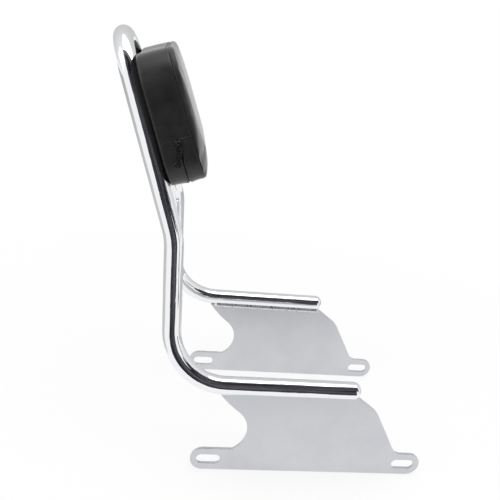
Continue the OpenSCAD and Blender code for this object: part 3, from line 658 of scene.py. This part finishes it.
def blown_up(points, pinned, pressure, cap, frames=20):
    """Cloth simulation of a grid of points (rings, around, 3), in mm, pinned along its first
    rings and pressed outwards. A move m, in mm, is softly held under cap: cap tanh(m / cap)."""
    mesh = bpy.data.meshes.new("cloth")
    mesh.from_pydata((points.reshape(-1, 3) * 0.001).tolist(), [], rings(points)[:-2])
    piece = bpy.data.objects.new("cloth", mesh)
    scene.collection.objects.link(piece)
    piece.vertex_groups.new(name="seam").add(list(range(pinned * points.shape[1])), 1.0, "REPLACE")
    cloth = piece.modifiers.new("cloth", "CLOTH")
    cloth.settings.quality = 8
    cloth.settings.vertex_group_mass = "seam"
    cloth.settings.use_pressure = True
    cloth.settings.uniform_pressure_force = pressure
    cloth.settings.effector_weights.gravity = 0
    cloth.point_cache.frame_end = frames
    for step in range(1, frames + 1):
        scene.frame_set(step)
    moved = np.empty(points.size)
    piece.evaluated_get(bpy.context.evaluated_depsgraph_get()).data.vertices.foreach_get("co", moved)
    scene.frame_set(1)
    bpy.data.objects.remove(piece)
    moves = moved.reshape(points.shape) * 1000 - points
    size = np.maximum(np.linalg.norm(moves, axis=-1, keepdims=True), 1e-9)
    return moves * cap * np.tanh(size / cap) / size


# The sewn panel is blown up over its foam as cloth, on every third point of every other ring
some = np.concatenate([[0, 1, 2, 3], np.arange(5, 31, 2)])
moves = blown_up(ringset[some][:, ::3], 4, 3.0, 0.9)
moves = np.concatenate([moves, moves[:, :1]], axis=1)
place, share = np.divmod(np.arange(columns) / 3, 1)
place, share = place.astype(int), share[:, None]
moves = moves[:, place] * (1 - share) + moves[:, place + 1] * share
high = np.clip(np.searchsorted(some, np.arange(len(ringset))), 1, len(some) - 1)
share = np.clip((np.arange(len(ringset)) - some[high - 1]) / (some[high] - some[high - 1]), 0, 1)
share = share[:, None, None]
ringset = ringset + moves[high - 1] * (1 - share) + moves[high] * share
panel = on_pad(ringset)
front = put("pad_front", panel, rings(panel), hide, ["front_panel", "pad_foam"], crease=75)

# The middle of the slider's travel above the foot, and half of what the slider covers, plus 1
travel_mid, travel_half = 44.0, 8.5


def flattened(a):
    """How flat the zip's flaps lie, 1 - x^2 (3 - 2 x): 1 under the slider and its travel, and 0
    from 5 mm further up or down."""
    x = np.clip((np.abs(corner_r - knots[2] - a - travel_mid) - travel_half) / 5, 0, 1)
    return 1 - x * x * (3 - 2 * x)


def strip(start, end, near, far, swell, count, flap=0):
    """Loop of a strip between two depths along part of the outline: the face bulges by swell,
    a sine across the strip, and dives 1.25 mm at both edges; its inside is 1.2 mm behind. A flap
    rises 1.55 mm, exp(-(d / 5)^2), towards its near (-1) or its far (1) edge over the zip."""
    a = np.linspace(start, end, count)[:, None]
    _, z = rim(a, 0)
    near, far = near(z), far(z)
    v = np.array([0, 0.012, 0.03, 0.06, 0.12, 0.25, 0.5, 0.75, 0.88, 0.94, 0.97, 0.988, 1.0])[None]
    dip = np.minimum(v, 1 - v) * (far - near)
    out = swell * np.sin(np.pi * v) - 1.25 * np.exp(-((dip / 0.75) ** 2))
    if flap:
        d = np.where(flap < 0, v, 1 - v) * (far - near)
        out = out + 1.55 * (1 - flattened(a)) * np.exp(-((d / 5) ** 2))
    t = near + (far - near) * v
    return wrap(a, np.hstack([t, t[:, ::-1]]), np.hstack([out, out[:, ::-1] - cover_t]))


def at_depth(depth, from_seam=0):
    """A line round the pad as a function of the height: depth, plus the seam's if from_seam is 1."""
    return lambda z: depth + from_seam * seam(z)


# Side band above the zip: a strip around head and sides, its edges turned in at both seams
side_start = knots[2] + zip_top - corner_r
points = strip(side_start, around - side_start, at_depth(0.3), at_depth(0.1, 1), 0.5, 200)
put("pad_side_band", points, rings(points), hide, ["side_gusset"], crease=75)

# Zip facings: two strips of the same leatherette, each folded under along the zip. They nearly
# meet over it, with a slit of 1 mm, and lie flat where the slider runs on them.
facing_end = side_start - 0.3
points = strip(-facing_end, facing_end, at_depth(0.3), at_depth(zip_depth - 0.5), 0.25, 260, 1)
put("facing_rear", points, rings(points), hide, ["rear_zip_facing"], crease=75)
points = strip(-facing_end, facing_end, at_depth(zip_depth + 0.5), at_depth(0.1, 1), 0.25, 260, -1)
put("facing_front", points, rings(points), hide, ["front_zip_facing"], crease=75)

# Black backing vinyl, darker than the cover as painted shade on the pad's back: thin, matt, with a woven
# scrim 0.8 mm apart that shows through
backing_painted_dark, tree, shader = finish_of("black_backing_vinyl_painted_shade", "0C0C0D", Roughness=0.6)
shader.inputs["Specular IOR Level"].default_value = 0.2
place = add(tree, "ShaderNodeTexCoord")
scrim = add(tree, "ShaderNodeTexVoronoi", [("Vector", place.outputs["Object"])], Scale=1250.0, Randomness=0.3)
add(tree, "ShaderNodeBump", [("Height", scrim.outputs["Distance"])],
    shader.inputs["Normal"], Strength=0.3, Distance=0.0002)

# Back: a flat panel with four holes for the screws, its rim turned into the rear seam
y, z = rim(np.linspace(0, around, 240, endpoint=False), -0.6)
loops = [np.column_stack([y, z])]
loops += [arc((side * screw_spacing / 2, s - pad_low), 3.6, 0, 350, 24)
          for side in (-1, 1) for s in (low_strap, high_strap)]
sheet, faces = cut_sheet(loops, cover_t, 0.5)
points = on_pad(np.column_stack([cover_t / 2 + sheet[:, 2], sheet[:, 0], sheet[:, 1]]))
# The back's colour is darker than the cover's as painted shade
put("pad_back", points, faces, backing_painted_dark, ["back_panel"], crease=60, even=True)

# The stitching
# Bonded black polyester thread, 0.6 mm thick, in stitches of 3.4 mm: one row 3 mm behind the
# front seam, and one along each side of the zip, 7.4 mm from its middle.

# Twisted thread: two plies, a dull sheen, a twist every 0.9 mm
thread, tree, shader = finish_of("black_polyester_thread", "232326", Roughness=0.5)
place = add(tree, "ShaderNodeTexCoord")
twist = add(tree, "ShaderNodeTexWave", [("Vector", place.outputs["Object"])],
            bands_direction="DIAGONAL", Scale=350.0, Distortion=1.0)
add(tree, "ShaderNodeBump", [("Height", twist.outputs["Fac"])],
    shader.inputs["Normal"], Strength=0.4, Distance=0.0002)


def stitches(start, end, depth, height, pitch=4.0, length=3.4, thick=0.3):
    """A row of stitches along the outline: each is a tube of six sides whose height follows
    a flat arch, cos^0.5, and which ends under the surface. depth and height are functions."""
    count = max(1, round((end - start) / pitch))
    middle = start + (np.arange(count) + 0.5) * (end - start) / count
    x = np.linspace(-1, 1, 6)
    turn = np.radians(np.arange(0, 360, 60))
    a = middle[:, None, None] + x[None, :, None] * length / 2 + 0 * turn
    arch = np.sqrt(np.cos(np.pi / 2 * x))[None, :, None]
    size = thick * (0.45 + 0.55 * arch)
    _, z = rim(a, 0)
    t = depth(z) + size * np.cos(turn)
    return wrap(a, t, height(z) + 0.22 * arch - 0.2 + size * np.sin(turn))


def many(block):
    """Points and faces of many small closed tubes, an array (pieces, rings, points, 3)."""
    return joined([(tube.reshape(-1, 3), rings(tube)) for tube in block])


points, faces = joined([many(row) for row in (
    stitches(0, around, at_depth(-3.0, 1), at_depth(0.12)),
    stitches(-side_start, side_start, at_depth(zip_depth - 7.4), at_depth(0.12)),
    stitches(-side_start, side_start, at_depth(zip_depth + 7.4), at_depth(0.12)),
)])
put("seam_stitches", points, faces, thread, crease=80)

# The zip
# A closed nylon coil zip, 22 mm wide, under the two facings. It runs up one side, round the
# foot and up the other, with a metal clip over the coils at each end.

# Woven polyester tape: warp ribs 0.7 mm apart, matt
tape_cloth, tree, shader = finish_of("black_woven_polyester_tape", "161617", Roughness=0.85)
place = add(tree, "ShaderNodeTexCoord")
rib, rib_across = (add(tree, "ShaderNodeTexWave", [("Vector", place.outputs["Object"])], bands_direction=way,
                       Scale=450.0) for way in "XZ")
weave = add(tree, "ShaderNodeMath", [(0, rib.outputs["Fac"]), (1, rib_across.outputs["Fac"])],
            operation="MULTIPLY")
add(tree, "ShaderNodeBump", [("Height", weave.outputs[0])],
    shader.inputs["Normal"], Strength=0.5, Distance=0.0002)

# Moulded nylon coil, black: glossy and smooth
nylon, tree, shader = finish_of("black_nylon_coil", "131315", Roughness=0.3)
place = add(tree, "ShaderNodeTexCoord")
flow = add(tree, "ShaderNodeTexNoise", [("Vector", place.outputs["Object"])], Scale=500.0, Detail=2.0)
add(tree, "ShaderNodeBump", [("Height", flow.outputs["Fac"])],
    shader.inputs["Normal"], Strength=0.1, Distance=0.0002)

for side, name in ((-1, "rear"), (1, "front")):
    a = np.linspace(-side_start, side_start, 130)[:, None]
    near, far = zip_depth + side * 0.15, zip_depth + side * 11
    t = np.array([[near, far, far, near]])
    points = wrap(a, t + 0 * a, np.array([[-1.25, -1.25, -2.0, -2.0]]) + 0 * a)
    put(name + "_tape", points, rings(points), tape_cloth, [name + "_zip_tape"], crease=30)
    run = side_start - 4.5
    middle = np.arange(-run, run, 2.0) + (0.5 + 0.5 * side)
    x = np.linspace(-1, 1, 7)
    turn = np.radians(np.arange(0, 360, 60))
    hook = np.array([0.55, 0.9, 1.0, 1.0, 0.95, 0.75, 0.35])
    a = middle[:, None, None] + 0.36 * hook[None, :, None] * np.cos(turn)
    t = zip_depth + side * (1.3 + 1.75 * x[None, :, None]) + 0 * a
    arch = 0.55 * np.cos(x * 1.2)[None, :, None]
    out = -0.85 + arch + 0.42 * hook[None, :, None] * np.sin(turn) + 0 * a
    points, faces = many(wrap(a, t, out))
    put(name + "_coil", points, faces, nylon, [name + "_zip_coil"], crease=60)

# Clips over the ends of the coils: CAD solids, rolled aluminium gone dull
clip_metal, tree, shader = finish_of("dull_aluminium_rolled", "77787A", Metallic=1.0, Roughness=0.5)
place = add(tree, "ShaderNodeTexCoord")
rolled = add(tree, "ShaderNodeTexNoise", [("Vector", place.outputs["Object"])], Scale=1500.0, Detail=2.0)
add(tree, "ShaderNodeBump", [("Height", rolled.outputs["Fac"])],
    shader.inputs["Normal"], Strength=0.2, Distance=0.0001)
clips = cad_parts["zip_stops"]
clips.data.materials.clear()
clips.data.materials.append(clip_metal)

# The slider and its pull
# Die cast zinc, lacquered dark. The slider's two plates run over and under the coils, joined
# by a neck in the slit; its bail traps the pull, a rimmed tab that hangs from a thin bar.

# Lacquered zinc: dark and glossy, with light specks that are partly bare metal worn through and partly
# painted glints
gunmetal, tree, shader = finish_of("dark_lacquered_zinc_die_cast", "3A3A3E", Metallic=0.7, Roughness=0.36)
place = add(tree, "ShaderNodeTexCoord")
wear_and_painted_glints = add(tree, "ShaderNodeTexNoise", [("Vector", place.outputs["Object"])], Scale=900.0, Detail=5.0)
add(tree, "ShaderNodeValToRGB", [("Fac", wear_and_painted_glints.outputs["Fac"])], shader.inputs["Base Color"],
    stops=[(0.6, "2C2C2F"), (0.78, "A5A6AA")])
add(tree, "ShaderNodeBump", [("Height", wear_and_painted_glints.outputs["Fac"])],
    shader.inputs["Normal"], Strength=0.15, Distance=0.0001)

slider_mid, slider_t, coil_top = 47.0, 0.9, 86.4
outer = coil_top + 0.3


def beside(points, y):
    """A cut sheet set upright on the pad's right side: (depth, height) with its middle at y."""
    return on_pad(np.column_stack([zip_depth + points[:, 0], -y - points[:, 2], slider_mid + points[:, 1]]))


parts = []
shield = np.array([[-2.8, -4.5], [2.8, -4.5], [4.2, -1.1], [4.2, 4.5], [-4.2, 4.5], [-4.2, -1.1]])
loop = np.vstack([rounded(p, unit(q - p), unit(s - p), 1.0) for p, q, s in
                  zip(shield, np.roll(shield, 1, axis=0), np.roll(shield, -1, axis=0))])
sheet, faces = cut_sheet([loop], slider_t, 0.3)
parts.append((beside(sheet, outer + slider_t / 2), faces))
sheet, faces = cut_sheet([loop * 0.9], slider_t, 0.3)
parts.append((beside(sheet, pad_w / 2 - 2.3 - slider_t / 2), faces))
neck = on_pad(np.array([[[zip_depth + x, -outer - 0.1 + 4 * k, slider_mid + 1.25 + z] for x, z in
                         ((-0.25, 1), (0.25, 1), (0.25, -1), (-0.25, -1))] for k in (0, 1)]))
parts.append((neck.reshape(-1, 3), rings(neck)))
bail_line = bent_line([[0, -0.2, -3.1], [0, 2.5, -2.9], [0, 2.5, 2.9], [0, -0.2, 3.1]], [1.6, 1.6], 12)
flat = np.array([[0.38, 0.9], [0.2, 1.0], [-0.2, 1.0], [-0.38, 0.9], [-0.38, -0.9], [-0.2, -1.0],
                 [0.2, -1.0], [0.38, -0.9]])
bail = carry(bail_line * [1, -1, 1], flat, (1, 0, 0))
bail = on_pad(bail + [zip_depth, -outer - slider_t, slider_mid])
parts.append((bail.reshape(-1, 3), rings(bail)))
points, faces = joined(parts)
put("slider", points, faces, gunmetal, ["zip_slider"], "slider", 45)

# The pull in its own frame: X across it, Z up, hanging from its bar straight down
pivot = on_pad([zip_depth, -(outer + slider_t + 0.7 + 0.3), slider_mid])
pull_w, pull_l, pull_t = 7.0, 22.0, 1.3


def hanging(points):
    """A cut sheet that hangs from the pull's bar, (across, up, thickness)."""
    return np.column_stack([points[:, 0], -points[:, 2], points[:, 1]]) + pivot


def tab(width, top, bottom, r):
    """A rounded rectangle that hangs between two heights."""
    w = width / 2 - r
    return np.vstack([arc((w, bottom + r), r, -90, 0, 7), arc((w, top - r), r, 0, 90, 7),
                      arc((-w, top - r), r, 90, 180, 7), arc((-w, bottom + r), r, 180, 270, 7)])


parts = []
loops = [tab(pull_w, -4.8, -pull_l, 1.6), tab(5.0, -6.2, -17.6, 1.0), arc((0, -19.8), 0.9, 0, 345, 20)]
sheet, faces = cut_sheet(loops, pull_t, 0.32)
parts.append((hanging(sheet), faces))
sheet, faces = cut_sheet([tab(5.6, -5.9, -17.9, 1.0)], 0.6, 0.1)
parts.append((hanging(sheet), faces))
wire_line = bent_line([(-3.0, 0, -5.4), (-3.0, 0, 0), (3.0, 0, 0), (3.0, 0, -5.4)], [0.9, 0.9], 12)
wire = carry(wire_line, circle(0.62, 14), (0, 1, 0)) + pivot
parts.append((wire.reshape(-1, 3), rings(wire)))
points, faces = joined(parts)
put("pull", points, faces, gunmetal, ["zip_pull"], "pull", 45)

# The bounds of the shown objects, without the backdrop
low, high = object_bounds()
